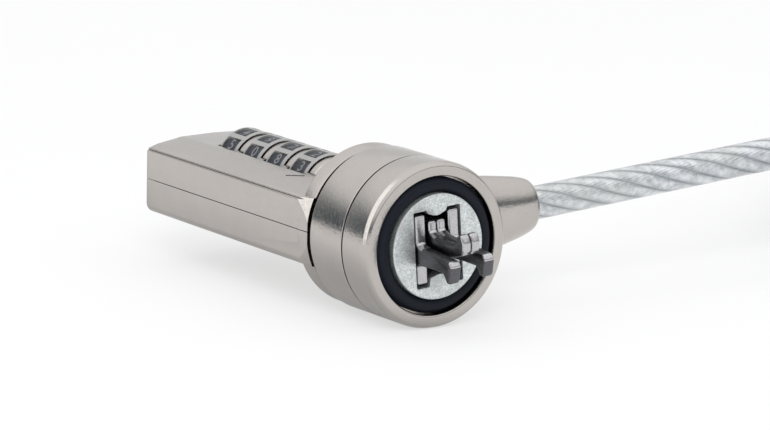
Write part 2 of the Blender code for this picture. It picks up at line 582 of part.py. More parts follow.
def build_cable(lock):
    """The cable's lead, its coil of stored length, and the eye at its far end."""
    rise = math.tan(BOSS_ANGLE)
    start = (FERRULE_END + GAP) * math.cos(BOSS_ANGLE)
    floor = -HEAD_R
    bottom = floor + TIE_GAP
    height = 2 * CABLE_R + (COIL_LAYERS - 1) * COIL_PITCH
    half = CABLE_R + (COIL_COLUMNS - 1) / 2 * COIL_PITCH
    top_layer = bottom + height - CABLE_R
    outside = COIL_MEAN_R + half

    def lead_z(x):
        return min(x * rise, top_layer)

    middle = Vector((STRAIGHT_END, CABLE_Y - TURN_R))
    meet = (COIL_C - middle).normalized()
    final = math.atan2(meet.y, meet.x)
    route = [Vector((x, CABLE_Y, lead_z(x))) for x in (start, 20 * MM, 30 * MM, 40 * MM, 50 * MM, STRAIGHT_END)]
    along = STRAIGHT_END
    for k in range(1, 9):
        a = math.pi / 2 + (final - math.pi / 2) * k / 8
        along += TURN_R * (math.pi / 2 - final) / 8
        spot = middle + TURN_R * Vector((math.cos(a), math.sin(a)))
        if (spot - COIL_C).length < outside + CABLE_R + GAP:
            break
        route.append(Vector((spot.x, spot.y, lead_z(along))))
    wire_path("cable_lead", smooth_path(route, 2 * CABLE_R), CABLE_R, lock, "cable")

    lathe("cable_coil", [
        (COIL_MEAN_R - half, bottom + MM), (COIL_MEAN_R - half + MM, bottom), (outside - MM, bottom),
        (outside, bottom + MM), (outside, bottom + height - MM), (outside - MM, bottom + height),
        (COIL_MEAN_R - half + MM, bottom + height), (COIL_MEAN_R - half, bottom + height - MM),
    ], lock, "cable", "Z", (*COIL_C, 0), 64)

    tie_in, tie_thick, tie_half = 0.35 * MM, 0.55 * MM, 2.4 * MM
    for n, angle in enumerate((math.radians(15), math.radians(135))):
        axis = frame(f"tie_frame_{n + 1}", (*COIL_C, 0), parent=lock)
        axis.rotation_euler = (0, 0, angle)
        grow = tie_in + tie_thick
        tie = box(f"coil_tie_{n + 1}", (COIL_MEAN_R - half - grow, -tie_half, bottom - grow),
                  (outside + grow, tie_half, bottom + height + grow), axis, "tie")
        hole = box(f"tie_hole_{n + 1}", (COIL_MEAN_R - half - tie_in, -9 * MM, bottom - tie_in),
                   (outside + tie_in, 9 * MM, bottom + height + tie_in), axis, None, CUTTERS)
        cut(tie, hole)

    outer_turn = COIL_MEAN_R + (COIL_COLUMNS - 1) / 2 * COIL_PITCH
    heading = TAIL_ANGLE + math.pi / 2
    leave = COIL_C + outer_turn * Vector((math.cos(TAIL_ANGLE), math.sin(TAIL_ANGLE)))
    eye = frame("eye_frame", (leave.x, leave.y, bottom + CABLE_R), parent=lock)
    eye.rotation_euler = (0, 0, heading)
    clear = math.sqrt((outside + CABLE_R + GAP) ** 2 - outer_turn ** 2)
    tail_end = clear + TAIL_LENGTH
    spots = [Vector((clear + TAIL_LENGTH * k / 3, 0, 0)) for k in range(4)]
    wire_path("cable_tail", spots, CABLE_R, eye, "cable")
    sleeve_at = tail_end + GAP
    sleeve = slab("eye_ferrule", [
        (y + side * CABLE_R * 0.98, z) for side, turn in ((1, -90), (-1, 90))
        for y, z in arc(CABLE_R + 0.75 * MM, turn, turn + 180, 9)
    ], sleeve_at, sleeve_at + EYE_FERRULE, eye, "steel")
    soften(sleeve, 0.4 * MM)
    split = CABLE_R * 1.05
    near = sleeve_at + EYE_FERRULE + GAP
    centre = near + EYE_LENGTH - EYE_R - CABLE_R
    loop = [Vector((near, split, 0)), Vector((near + 5 * MM, split + 0.6 * MM, 0)),
            Vector((near + 12 * MM, EYE_R * 0.6, 0))]
    loop += [Vector((centre + x, y, 0)) for x, y in arc(EYE_R, 112, -112, 13)]
    loop += [Vector((p.x, -p.y, 0)) for p in reversed(loop[:3])]
    wire_path("cable_eye", smooth_path(loop, 2 * CABLE_R), CABLE_R, eye, "cable")


def main():
    global PARTS, CUTTERS
    clear_scene()
    PARTS = collection("notebook_cable_lock")
    CUTTERS = collection("cutters", hidden=True)
    lock = frame("lock_frame", LOCK_AT)
    hooks = frame("hook_frame", turn_y=-HOOK_TILT, parent=lock)
    swivel = frame("swivel_frame", turn_y=-BOSS_ANGLE, parent=lock)
    build_head(lock)
    build_core(hooks)
    build_hooks(hooks)
    build_drive(lock, hooks)
    build_shells(lock)
    build_dials(lock)
    build_swivel(swivel)
    build_cable(lock)


main()
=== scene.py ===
"""Looks of the combination cable lock: camera, studio, cable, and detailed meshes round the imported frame."""

import math

import bmesh
import bpy
from mathutils import Matrix, Vector


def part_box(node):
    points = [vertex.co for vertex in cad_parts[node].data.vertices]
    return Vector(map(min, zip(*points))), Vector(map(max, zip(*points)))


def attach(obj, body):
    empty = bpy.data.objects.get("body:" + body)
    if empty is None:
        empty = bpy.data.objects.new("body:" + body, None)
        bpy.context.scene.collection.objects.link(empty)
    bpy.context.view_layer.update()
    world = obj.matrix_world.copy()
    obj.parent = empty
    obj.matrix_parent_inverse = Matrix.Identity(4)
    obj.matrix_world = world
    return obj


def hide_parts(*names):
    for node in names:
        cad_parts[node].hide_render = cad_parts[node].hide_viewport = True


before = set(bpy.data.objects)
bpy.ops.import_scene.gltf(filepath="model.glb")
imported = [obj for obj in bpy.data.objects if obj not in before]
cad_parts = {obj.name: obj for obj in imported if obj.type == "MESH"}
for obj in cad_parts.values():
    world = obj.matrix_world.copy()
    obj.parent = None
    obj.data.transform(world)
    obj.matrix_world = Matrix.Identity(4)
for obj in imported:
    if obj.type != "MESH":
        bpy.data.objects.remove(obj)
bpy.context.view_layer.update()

MM = 0.001
GAP = 0.3  # every length below is in millimetres, in the lock's own frame
rim_low, rim_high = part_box("front_collar")
LOCK_AT = Vector(((rim_low[0] + rim_high[0]) / 2, rim_low[1], (rim_low[2] + rim_high[2]) / 2))

HEAD_R, CORE_R, RECESS_R, RECESS_DEPTH = 10.4, 6.6, 8.65, 1.9
COLLAR_END = 5.2
RING_START, RING_END = 5.5, 12.8
FLANGE_START, FLANGE_END, FLANGE_R = 13.2, 15.6, 10.15
CORE_FACE, CORE_END, CORE_BORE = -0.4, 15.0, 5.5
HOOK_TILT, BOSS_ANGLE = math.radians(5.0), math.radians(4.4)
BODY_HALF, BODY_END = 10.1, 52.6
BODY_FLOOR, BODY_SHOULDER, BODY_CREST, SPLIT = -4.25, 4.1, 5.45, 0.2
DIAL_Z, DIAL_R, DIAL_WIDTH, DIAL_PITCH, DIAL_FIRST, DIAL_COUNT = 2.9, 4.5, 3.9, 5.5, 25.5, 4
READ_ANGLE = math.radians(139.6)  # the row of numbers that is read, round a dial's axis
SLEEVE_R, SPINDLE_R = 2.7, 1.5
BUTTON_Z, BUTTON_R, BUTTON_OUT = 1.6, 2.3, 4.3
PIVOT_Y, DRIVE_REACH, TRAVEL, PIN_R, HOOK_SWING = 1.3, 6.5, 2.5, 0.6, math.radians(10.5)
CABLE_R, CABLE_Y, FERRULE_END = 2.15, 9.2, 12.3

LOCK = Matrix.Translation(LOCK_AT) @ Matrix.Scale(MM, 4)
HOOKS = LOCK @ Matrix.Rotation(-HOOK_TILT, 4, "Y")
SWIVEL = LOCK @ Matrix.Rotation(-BOSS_ANGLE, 4, "Y")


# ---------------------------------------------------------------- camera

CAMERA_AT = Vector((-281.3, -399.2, 105.2))
CAMERA_LOOK = Vector((0.5535, 0.8077, -0.2035))
CAMERA_ROLL = math.radians(1.37)


def make_camera():
    data = bpy.data.cameras.new("camera")
    data.lens, data.sensor_width = 191.7, 36.0
    data.clip_start, data.clip_end = 0.01, 60.0
    camera = bpy.data.objects.new("camera", data)
    bpy.context.scene.collection.objects.link(camera)
    back = -CAMERA_LOOK.normalized()
    level = Vector((0, 0, 1)).cross(back).normalized()
    up = back.cross(level)
    right = math.cos(CAMERA_ROLL) * level + math.sin(CAMERA_ROLL) * up
    up = back.cross(right)
    turn = Matrix((right, up, back)).transposed().to_4x4()
    camera.matrix_world = Matrix.Translation(LOCK @ CAMERA_AT) @ turn
    bpy.context.scene.camera = camera


make_camera()


# ---------------------------------------------------------------- materials

def add_node(tree, kind, inputs=(), **props):
    """A new node whose inputs are given as values or as the sockets that feed them."""
    made = tree.nodes.new(kind)
    for key, value in props.items():
        setattr(made, key, value)
    for socket, value in dict(inputs).items():
        if isinstance(value, bpy.types.NodeSocket):
            tree.links.new(value, made.inputs[socket])
        else:
            made.inputs[socket].default_value = value
    return made


class Look:
    """A material whose node tree is built by short calls."""

    def __init__(self, name, color=(0.8, 0.8, 0.8), metallic=0.0, roughness=0.5, **sockets):
        self.material = bpy.data.materials.new(name)
        self.material.use_nodes = True
        self.tree = self.material.node_tree
        self.shader = self.tree.nodes["Principled BSDF"]
        self.shader.inputs["Base Color"].default_value = (*color, 1)
        self.shader.inputs["Metallic"].default_value = metallic
        self.shader.inputs["Roughness"].default_value = roughness
        for socket, value in sockets.items():
            self.shader.inputs[socket.replace("_", " ")].default_value = value

    def node(self, kind, inputs=(), **props):
        return add_node(self.tree, kind, inputs, **props)

    def coords(self, stretch=(1, 1, 1)):
        spot = self.node("ShaderNodeTexCoord").outputs["Object"]
        return self.node("ShaderNodeMapping", {"Vector": spot, "Scale": stretch}).outputs[0]

    def noise(self, size_mm, detail=2.0, stretch=(1, 1, 1), roughness=0.5):
        inputs = {"Vector": self.coords(stretch), "Scale": 1 / (size_mm * MM), "Detail": detail,
                  "Roughness": roughness}
        return self.node("ShaderNodeTexNoise", inputs).outputs["Fac"]

    def math(self, operation, a, b=0.0):
        return self.node("ShaderNodeMath", {0: a, 1: b}, operation=operation).outputs[0]

    def span(self, value, low, high, to_low=0.0, to_high=1.0):
        inputs = {"Value": value, "From Min": low, "From Max": high, "To Min": to_low, "To Max": to_high}
        return self.node("ShaderNodeMapRange", inputs).outputs[0]

    def blend(self, factor, a, b):
        made = self.node("ShaderNodeMix", data_type="RGBA")
        for socket, value in (("Factor_Float", factor), ("A_Color", a), ("B_Color", b)):
            into = next(s for s in made.inputs if s.identifier == socket)
            if isinstance(value, bpy.types.NodeSocket):
                self.tree.links.new(value, into)
            else:
                into.default_value = (*value, 1) if socket != "Factor_Float" else value
        return next(s for s in made.outputs if s.identifier == "Result_Color")

    def bump(self, height, depth_um, normal=None, strength=1.0):
        inputs = {"Height": height, "Strength": strength, "Distance": depth_um * 1e-6}
        if normal:
            inputs["Normal"] = normal
        return self.node("ShaderNodeBump", inputs).outputs[0]

    def drive(self, socket, value):
        self.tree.links.new(value, self.shader.inputs[socket])
        return self


def nickel(name="nickel", color=(0.52, 0.49, 0.463), dark=(0.33, 0.305, 0.28), rough=(0.12, 0.22), grain=1.0):
    """Bright nickel plate over a die casting: orange peel, faint clouds, a few pits."""
    look = Look(name, color, 1.0, 0.15)
    clouds = look.noise(3.2, 3)
    pits = look.span(look.noise(0.16, 1), 0.69, 0.76)
    tone = look.blend(look.span(clouds, 0.35, 0.7), tuple(c * 0.965 for c in color), color)
    look.drive("Base Color", look.blend(look.math("MULTIPLY", pits, 0.55), tone, dark))
    streaks = look.noise(0.5, 2)
    look.drive("Roughness", look.span(streaks, 0.3, 0.7, *rough))
    peel = look.bump(look.noise(2.1, 1), 9.0 * grain)
    fine = look.bump(look.noise(0.3, 3, roughness=0.6), 17.0 * grain, peel)
    look.drive("Normal", look.bump(pits, -6.0, fine))
    return look.material


def zinc():
    """Zinc-plated steel disc: cool satin grain with faint patches."""
    color = (0.58, 0.615, 0.62)
    look = Look("zinc", color, 0.9, 0.42)
    grain = look.noise(0.19, 3, roughness=0.7)
    patches = look.noise(1.7, 3)
    tone = look.blend(look.span(grain, 0.38, 0.66), (0.52, 0.56, 0.565), (0.9, 0.93, 0.935))
    look.drive("Base Color", look.blend(look.span(patches, 0.42, 0.72, 0.0, 0.45), tone, (0.5, 0.52, 0.5)))
    look.drive("Roughness", look.span(patches, 0.3, 0.7, 0.34, 0.5))
    look.drive("Normal", look.bump(grain, 14.0))
    return look.material


def rubber():
    look = Look("rubber", (0.007, 0.009, 0.014), 0.0, 0.4, Specular_IOR_Level=0.14)
    skin = look.noise(0.35, 3)
    look.drive("Base Color", look.blend(skin, (0.004, 0.005, 0.009), (0.009, 0.012, 0.018)))
    look.drive("Roughness", look.span(skin, 0.3, 0.7, 0.33, 0.5))
    look.drive("Normal", look.bump(skin, 12.0))
    return look.material


def steel(name, color, rough, grain_um, stretch=(1, 1, 1), size=0.16):
    """Bare steel whose fine grain may be drawn out into scratches."""
    look = Look(name, color, 1.0, rough[0])
    grain = look.noise(size, 3, stretch, 0.6)
    look.drive("Base Color", look.blend(look.span(grain, 0.3, 0.7), tuple(c * 0.72 for c in color), color))
    look.drive("Roughness", look.span(look.noise(0.7, 2, stretch), 0.3, 0.7, *rough))
    look.drive("Normal", look.bump(grain, grain_um))
    return look.material


def paint():
    look = Look("cell_paint", (0.02, 0.022, 0.028), 0.0, 0.4, Specular_IOR_Level=0.25)
    wear = look.noise(0.45, 3)
    look.drive("Base Color", look.blend(wear, (0.012, 0.014, 0.02), (0.045, 0.05, 0.06)))
    look.drive("Roughness", look.span(wear, 0.3, 0.7, 0.25, 0.5))
    look.drive("Normal", look.bump(look.noise(0.12, 2), 8.0))
    return look.material


STRANDS, STRAND_LAY, WIRES = 7, 34.0, 30  # strands round the rope, their lay in mm, wires seen round it


def strand_look():
    """Twisted galvanised strands seen through a smooth clear jacket, drawn on the tube's own map, with painted
    shade in the grooves between strands and between wires.
    """
    look = Look("cable", (0.6, 0.62, 0.64), 0.75, 0.3, Coat_Weight=0.6, Coat_Roughness=0.08, Coat_IOR=1.5)
    spot = look.node("ShaderNodeUVMap", uv_map="lay").outputs[0]
    split = look.node("ShaderNodeSeparateXYZ", {0: spot})
    around, along = split.outputs[0], split.outputs[1]
    lay = look.math("DIVIDE", along, STRAND_LAY * MM)
    twist = look.math("MULTIPLY", look.math("ADD", around, lay), STRANDS)
    across = look.math("SUBTRACT", look.math("MULTIPLY", look.math("FRACT", twist), 2.0), 1.0)
    fall = look.math("POWER", look.math("ABSOLUTE", across), 2.0)
    crown = look.math("SQRT", look.math("MAXIMUM", look.math("SUBTRACT", 1.0, fall), 0.0))
    shift = look.math("MULTIPLY", look.math("FLOOR", twist), 0.37)
    slant = look.math("SUBTRACT", around, look.math("MULTIPLY", along, 18.0))
    ply = look.math("ADD", look.math("MULTIPLY", slant, WIRES), shift)
    wire = look.math("ABSOLUTE", look.math("SINE", look.math("MULTIPLY", ply, math.pi)))
    haze = look.noise(6.0, 3)
    dull = look.noise(1.1, 3)
    height = look.math("ADD", crown, look.math("MULTIPLY", wire, 0.14))
    # painted shade: the colour darkens toward the grooves between strands and between wires; dull patches
    # darken at random
    light = look.math("MULTIPLY", look.span(crown, 0.35, 0.97), look.span(wire, 0.0, 0.65, 0.8, 1.0))
    light = look.math("MULTIPLY", light, look.span(dull, 0.36, 0.6, 0.35, 1.0))
    tone = look.blend(light, (0.33, 0.36, 0.385), (0.79, 0.815, 0.835))
    look.drive("Base Color", look.blend(look.span(haze, 0.38, 0.7, 0.0, 0.4), tone, (0.5, 0.5, 0.475)))
    look.drive("Roughness", look.span(dull, 0.3, 0.7, 0.25, 0.42))
    look.drive("Normal", look.bump(height, 300.0, strength=0.7))
    return look.material


def strap():
    look = Look("strap", (0.02, 0.02, 0.022), 0.0, 0.85, Sheen_Weight=0.35, Sheen_Roughness=0.4)
    weave = look.node("ShaderNodeTexWave", {"Vector": look.coords(), "Scale": 900.0, "Distortion": 1.5,
                                            "Detail": 2.0, "Detail Scale": 3.0}, bands_direction="DIAGONAL")
    fuzz = look.noise(0.3, 4, roughness=0.7)
    height = look.math("ADD", look.math("MULTIPLY", weave.outputs["Fac"], 0.5), fuzz)
    look.drive("Base Color", look.blend(fuzz, (0.01, 0.01, 0.012), (0.05, 0.05, 0.054)))
    look.drive("Normal", look.bump(height, 160.0))
    return look.material


def brass():
    look = Look("brass", (0.62, 0.44, 0.17), 1.0, 0.3)
    turned = look.noise(0.3, 2, (1, 6, 1))
    look.drive("Base Color", look.blend(turned, (0.5, 0.34, 0.12), (0.7, 0.52, 0.22)))
    look.drive("Roughness", look.span(turned, 0.3, 0.7, 0.22, 0.4))
    look.drive("Normal", look.bump(turned, 6.0))
    return look.material


NICKEL = nickel()
DIAL_METAL = nickel("dial_metal", (0.46, 0.455, 0.45), (0.12, 0.12, 0.13), (0.16, 0.3), 1.4)
ZINC, RUBBER, PAINT, CABLE, STRAP, BRASS = zinc(), rubber(), paint(), strand_look(), strap(), brass()
HOOK_EDGE = steel("hook_edge", (0.62, 0.61, 0.63), (0.16, 0.3), 16.0)
# dark steel of the plates' sides, also laid on the arms' edges as painted shade
HOOK_SIDE_AND_SHADE = steel("hook_side_and_shade", (0.15, 0.15, 0.162), (0.26, 0.4), 5.0, (1, 0.3, 1))
STEEL = steel("steel", (0.52, 0.52, 0.53), (0.2, 0.35), 5.0, (1, 3, 1))
ALLOY = steel("alloy", (0.6, 0.605, 0.61), (0.3, 0.45), 9.0, (1, 1, 1), 0.3)
DIGIT = steel("digit", (0.3, 0.31, 0.33), (0.25, 0.4), 4.0)


# ---------------------------------------------------------------- mesh helpers

def rounded(corners, closed=True, steps=4):
    """Corners (a, b, radius) of an outline, each turned into an arc of its radius."""
    spots = []
    for i, (a, b, radius) in enumerate(corners):
        spot = Vector((a, b))
        if radius <= 0 or (not closed and i in (0, len(corners) - 1)):
            spots.append(spot)
            continue
        before = Vector(corners[i - 1][:2]) - spot
        after = Vector(corners[(i + 1) % len(corners)][:2]) - spot
        half = before.angle(after) / 2
        if half > math.radians(89.95):
            spots.append(spot)
            continue
        reach = min(radius / math.tan(half), 0.49 * before.length, 0.49 * after.length)
        before.normalize()
        after.normalize()
        radius = reach * math.tan(half)
        centre = spot + (before + after).normalized() * (radius / math.sin(half))
        start, end = spot + before * reach - centre, spot + after * reach - centre
        spots += [centre + start.slerp(end, k / steps) * radius for k in range(steps + 1)]
    return spots


def loft(rings, cap_material=0):
    """Join rings of points, each a closed loop of the same count, into a solid with flat ends."""
    bm = bmesh.new()
    made = [[bm.verts.new(spot) for spot in ring] for ring in rings]
    for here, there in zip(made, made[1:]):
        for i in range(len(here)):
            j = (i + 1) % len(here)
            bm.faces.new((here[i], here[j], there[j], there[i]))
    for ring in (made[0], made[-1]):
        bm.faces.new(ring).material_index = cap_material
    return bm


def lathe(outline, axis="Y", centre=(0, 0, 0), steps=192):
    """Sweep (radius, position) points about an axis; a line that starts on the axis also ends on it."""
    bm = bmesh.new()
    solid = outline[0][0] < 1e-6
    line = outline[1:-1] if solid else outline
    rings = []
    for radius, t in line:
        ring = []
        for k in range(steps):
            u, v = radius * math.cos(2 * math.pi * k / steps), radius * math.sin(2 * math.pi * k / steps)
            spot = {"X": (t, u, v), "Y": (v, t, u), "Z": (u, v, t)}[axis]
            ring.append(bm.verts.new(Vector(spot) + Vector(centre)))
        rings.append(ring)
    for here, there in zip(rings, rings[1:] if solid else rings[1:] + rings[:1]):
        for k in range(steps):
            j = (k + 1) % steps
            bm.faces.new((here[k], here[j], there[j], there[k]))
    if solid:
        bm.faces.new(rings[0])
        bm.faces.new(rings[-1])
    return bm


def inset(outline, by):
    """Move a closed outline's points inward; it runs counter-clockwise."""
    moved = []
    for i, spot in enumerate(outline):
        before = (spot - outline[i - 1]).normalized()
        after = (outline[(i + 1) % len(outline)] - spot).normalized()
        way = (before + after).normalized()
        scale = max(0.35, math.sqrt(max(0.0, (1 + before.dot(after)) / 2)))
        moved.append(spot + Vector((-way.y, way.x)) * (by / scale))
    return moved


def ccw(outline):
    area = sum(a.x * b.y - b.x * a.y for a, b in zip(outline, outline[1:] + outline[:1]))
    return outline if area > 0 else outline[::-1]


def plate(outline, start, end, edge, cap_material=0):
    """A slab with rounded edges: (y, z) points extruded along X."""
    outline = ccw(outline)
    rings = []
    for at, side in ((start, 1), (end, -1)):
        part = []
        for k in range(4):
            a = math.radians(30 * k)
            t = at + side * edge * (1 - math.cos(a))
            flat = inset(outline, edge * (1 - math.sin(a)))
            part.append([(t, p.x, p.y) for p in flat])
        rings.append(part)
    return loft(rings[0] + rings[1][::-1], cap_material)


def put(name, bm, matrix, materials, smooth=32.0):
    """An object of a mesh drawn in millimetres, with its vertices moved by the matrix into metres."""
    bmesh.ops.recalc_face_normals(bm, faces=bm.faces)
    mesh = bpy.data.meshes.new(name)
    bm.to_mesh(mesh)
    bm.free()
    mesh.transform(matrix)
    for material in materials:
        mesh.materials.append(material)
    obj = bpy.data.objects.new(name, mesh)
    bpy.context.scene.collection.objects.link(obj)
    shade(mesh, smooth)
    return obj


def shade(mesh, smooth):
    mesh.shade_smooth()
    mesh.set_sharp_from_angle(angle=math.radians(smooth))


def apply_modifiers(obj):
    deps = bpy.context.evaluated_depsgraph_get()
    made = bpy.data.meshes.new_from_object(obj.evaluated_get(deps))
    old, obj.data = obj.data, made
    obj.modifiers.clear()
    bpy.data.meshes.remove(old)


def combine(obj, tools, operation="DIFFERENCE"):
    """Boolean with tools drawn as (bmesh, matrix) pairs, which are removed afterwards."""
    made = []
    for bm, matrix in tools:
        tool = put("tool", bm, matrix, [])
        modifier = obj.modifiers.new("cut", "BOOLEAN")
        modifier.operation, modifier.solver, modifier.object = operation, "EXACT", tool
        made.append(tool)
    apply_modifiers(obj)
    for tool in made:
        bpy.data.objects.remove(tool, do_unlink=True)


def bevel(obj, width, angle):
    modifier = obj.modifiers.new("edges", "BEVEL")
    modifier.width, modifier.segments = width * MM, 2
    modifier.limit_method, modifier.angle_limit = "ANGLE", math.radians(angle)
    modifier.use_clamp_overlap = True
    apply_modifiers(obj)


def stand_for(obj, body, slot, *nodes):
    """Tie a visible piece to its body and hide the CAD nodes that it replaces; its record material, slot, is
    not used.
    """
    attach(obj, body)
    if nodes:
        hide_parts(*nodes)


def rod(radius, start, end, axis="Y", centre=(0, 0, 0), steps=64):
    return lathe([(0, start), (radius, start), (radius, end), (0, end)], axis, centre, steps)


def block(low, high):
    bm = bmesh.new()
    low, high = Vector(low), Vector(high)
    for vert in bmesh.ops.create_cube(bm, size=1.0)["verts"]:
        vert.co = low + Vector((vert.co[i] + 0.5) * (high[i] - low[i]) for i in range(3))
    return bm


# ---------------------------------------------------------------- cable, first

STRAIGHT_END, TURN_R = 58.0, 19.1
COIL_C, COIL_MEAN_R, COIL_PITCH, COIL_COLUMNS, COIL_LAYERS = Vector((101.6, 8.0)), 24.0, 4.35, 3, 4
TIE_GAP = 1.0
TAIL_ANGLE, TAIL_LENGTH = math.radians(-30.0), 8.0
EYE_LENGTH, EYE_R, EYE_FERRULE = 42.0, 13.5, 12.0
BOTTOM = -HEAD_R + TIE_GAP
COIL_HEIGHT = 2 * CABLE_R + (COIL_LAYERS - 1) * COIL_PITCH
COIL_HALF = CABLE_R + (COIL_COLUMNS - 1) / 2 * COIL_PITCH
TOP_LAYER = BOTTOM + COIL_HEIGHT - CABLE_R
OUTSIDE = COIL_MEAN_R + COIL_HALF
OUTER_TURN = COIL_MEAN_R + (COIL_COLUMNS - 1) / 2 * COIL_PITCH
TURNS = 10.0  # whole turns of the winding, before the part of a turn that brings it to the tail
SHIFT, DROP = 0.25, 0.15  # turns that a change of column or of layer takes


def smooth_step(x):
    x = min(1.0, max(0.0, x))
    return x * x * (3 - 2 * x)


def winding():
    """The changes of (column, layer) along the coil, as (start, length, column step, layer step) in turns."""
    changes, late = [], 0.944
    for layer in range(COIL_LAYERS):
        step = 1 if layer % 2 == 0 else -1
        for column in range(1, COIL_COLUMNS):
            changes.append((late - SHIFT, SHIFT, step, 0))
            late += 1
        if layer < COIL_LAYERS - 1:
            late -= SHIFT
            changes.append((late - DROP, DROP, 0, 1))
            late += 1 - DROP
    return changes


def eye_frame():
    leave = COIL_C + OUTER_TURN * Vector((math.cos(TAIL_ANGLE), math.sin(TAIL_ANGLE)))
    turn = Matrix.Rotation(TAIL_ANGLE + math.pi / 2, 4, "Z")
    return Matrix.Translation((leave.x, leave.y, BOTTOM + CABLE_R)) @ turn


CLEAR = math.sqrt((OUTSIDE + CABLE_R + GAP) ** 2 - OUTER_TURN ** 2)
SLEEVE_AT = CLEAR + TAIL_LENGTH + GAP


def cable_route():
    """The cable's centreline: boss, lead, coil, tail, then round the eye and back into its sleeve."""
    rise = math.tan(BOSS_ANGLE)
    route = [Vector((x, CABLE_Y, x * rise)) for x in (FERRULE_END + GAP, 20, 30, 40, 50, STRAIGHT_END)]
    middle = Vector((STRAIGHT_END, CABLE_Y - TURN_R))
    meet = COIL_C - middle
    final = math.atan2(meet.y, meet.x)
    for k in range(1, 8):
        a = math.pi / 2 + (final - math.pi / 2) * k / 8
        along = STRAIGHT_END + TURN_R * (math.pi / 2 - a)
        spot = middle + TURN_R * Vector((math.cos(a), math.sin(a)))
        route.append(Vector((spot.x, spot.y, min(along * rise, TOP_LAYER))))
    start = final + math.pi
    turns = TURNS + (TAIL_ANGLE + 2 * math.pi - start) / (2 * math.pi)
    changes = winding()
    count = int(turns * 30)
    for k in range(count + 1):
        n = turns * k / count
        column = sum(step * smooth_step((n - at) / long) for at, long, step, _ in changes)
        layer = sum(step * smooth_step((n - at) / long) for at, long, _, step in changes)
        a = start + 2 * math.pi * n
        r = OUTER_TURN - column * COIL_PITCH
        spot = COIL_C + r * Vector((math.cos(a), math.sin(a)))
        route.append(Vector((spot.x, spot.y, TOP_LAYER - layer * COIL_PITCH)))
    eye, split = eye_frame(), CABLE_R * 1.05
    near = SLEEVE_AT + EYE_FERRULE + GAP
    centre = near + EYE_LENGTH - EYE_R - CABLE_R
    loop = [(CLEAR * 0.5, 0), (CLEAR, 0), (SLEEVE_AT, 0.1), (SLEEVE_AT + EYE_FERRULE * 0.5, split * 0.6),
            (near, split), (near + 5, split + 0.6), (near + 12, EYE_R * 0.6)]
    for k in range(13):
        a = math.radians(112 - 224 * k / 12)
        loop.append((centre + EYE_R * math.cos(a), EYE_R * math.sin(a)))
    loop += [(near + 12, -EYE_R * 0.6), (near + 5, -split - 0.6), (near, -split), (near - 4, -split)]
    far = near + EYE_LENGTH
    for x, y in loop:
        route.append(eye @ Vector((x, y, -0.85 * smooth_step(x / far))))
    return route


def smooth_path(points, spacing):
    """Evenly spaced points on a Catmull-Rom curve through a route's points."""
    dense = []
    ends = [points[0] * 2 - points[1], *points, points[-1] * 2 - points[-2]]
    for a, b, c, d in zip(ends, ends[1:], ends[2:], ends[3:]):
        for k in range(12):
            t = k / 12
            dense.append(0.5 * (2 * b + (c - a) * t + (2 * a - 5 * b + 4 * c - d) * t * t
                                + (3 * b - a - 3 * c + d) * t ** 3))
    dense.append(points[-1])
    lengths = [0.0]
    for a, b in zip(dense, dense[1:]):
        lengths.append(lengths[-1] + (b - a).length)
    count = round(lengths[-1] / spacing)
    out, i = [], 0
    for k in range(count + 1):
        want = lengths[-1] * k / count
        while i < len(dense) - 2 and lengths[i + 1] < want:
            i += 1
        part = (want - lengths[i]) / (lengths[i + 1] - lengths[i])
        out.append(dense[i].lerp(dense[i + 1], min(1.0, part)))
    return out


def cable_tube(path, sides=28):
    """A round tube along a level path, with a map of the turn round it and the length along it."""
    bm = bmesh.new()
    layer = bm.loops.layers.uv.new("lay")
    rings, along = [], [0.0]
    for a, b in zip(path, path[1:]):
        along.append(along[-1] + (b - a).length)
    for i, spot in enumerate(path):
        way = (path[min(i + 1, len(path) - 1)] - path[max(i - 1, 0)]).normalized()
        side = way.cross(Vector((0, 0, 1))).normalized()
        up = side.cross(way)
        turns = (2 * math.pi * k / sides for k in range(sides))
        rings.append([bm.verts.new(spot + CABLE_R * (math.cos(a) * side + math.sin(a) * up)) for a in turns])
    for i, (here, there) in enumerate(zip(rings, rings[1:])):
        for k in range(sides):
            j = (k + 1) % sides
            face = bm.faces.new((here[k], there[k], there[j], here[j]))
            marks = ((k, i), (k, i + 1), (k + 1, i + 1), (k + 1, i))
            for loop, (turn, at) in zip(face.loops, marks):
                loop[layer].uv = (turn / sides, along[at] * MM)
    bm.faces.new(rings[0])
    bm.faces.new(rings[-1])
    return bm


def eye_sleeve():
    """The crimped sleeve that closes the eye: an obround swaged at three places."""
    rings = []
    stations = 49
    for i in range(stations):
        t = i / (stations - 1)
        x = SLEEVE_AT + EYE_FERRULE * t
        crimp = sum(math.exp(-((t - at) / 0.055) ** 2) for at in (0.24, 0.5, 0.76))
        end = math.sqrt(max(0.0, 1 - max(0.0, 1 - min(t, 1 - t) / 0.05) ** 2))
        r = (CABLE_R + 0.75) - 0.28 * crimp - 0.4 * (1 - end)
        flat = [(side * CABLE_R * 0.98, turn) for side, turn in ((1, -90), (-1, 90))]
        rings.append([(x, y + r * math.cos(math.radians(turn + 180 * k / 16)),
                       r * math.sin(math.radians(turn + 180 * k / 16)) - 0.12)
                      for y, turn in flat for k in range(17)])
    return loft(rings)


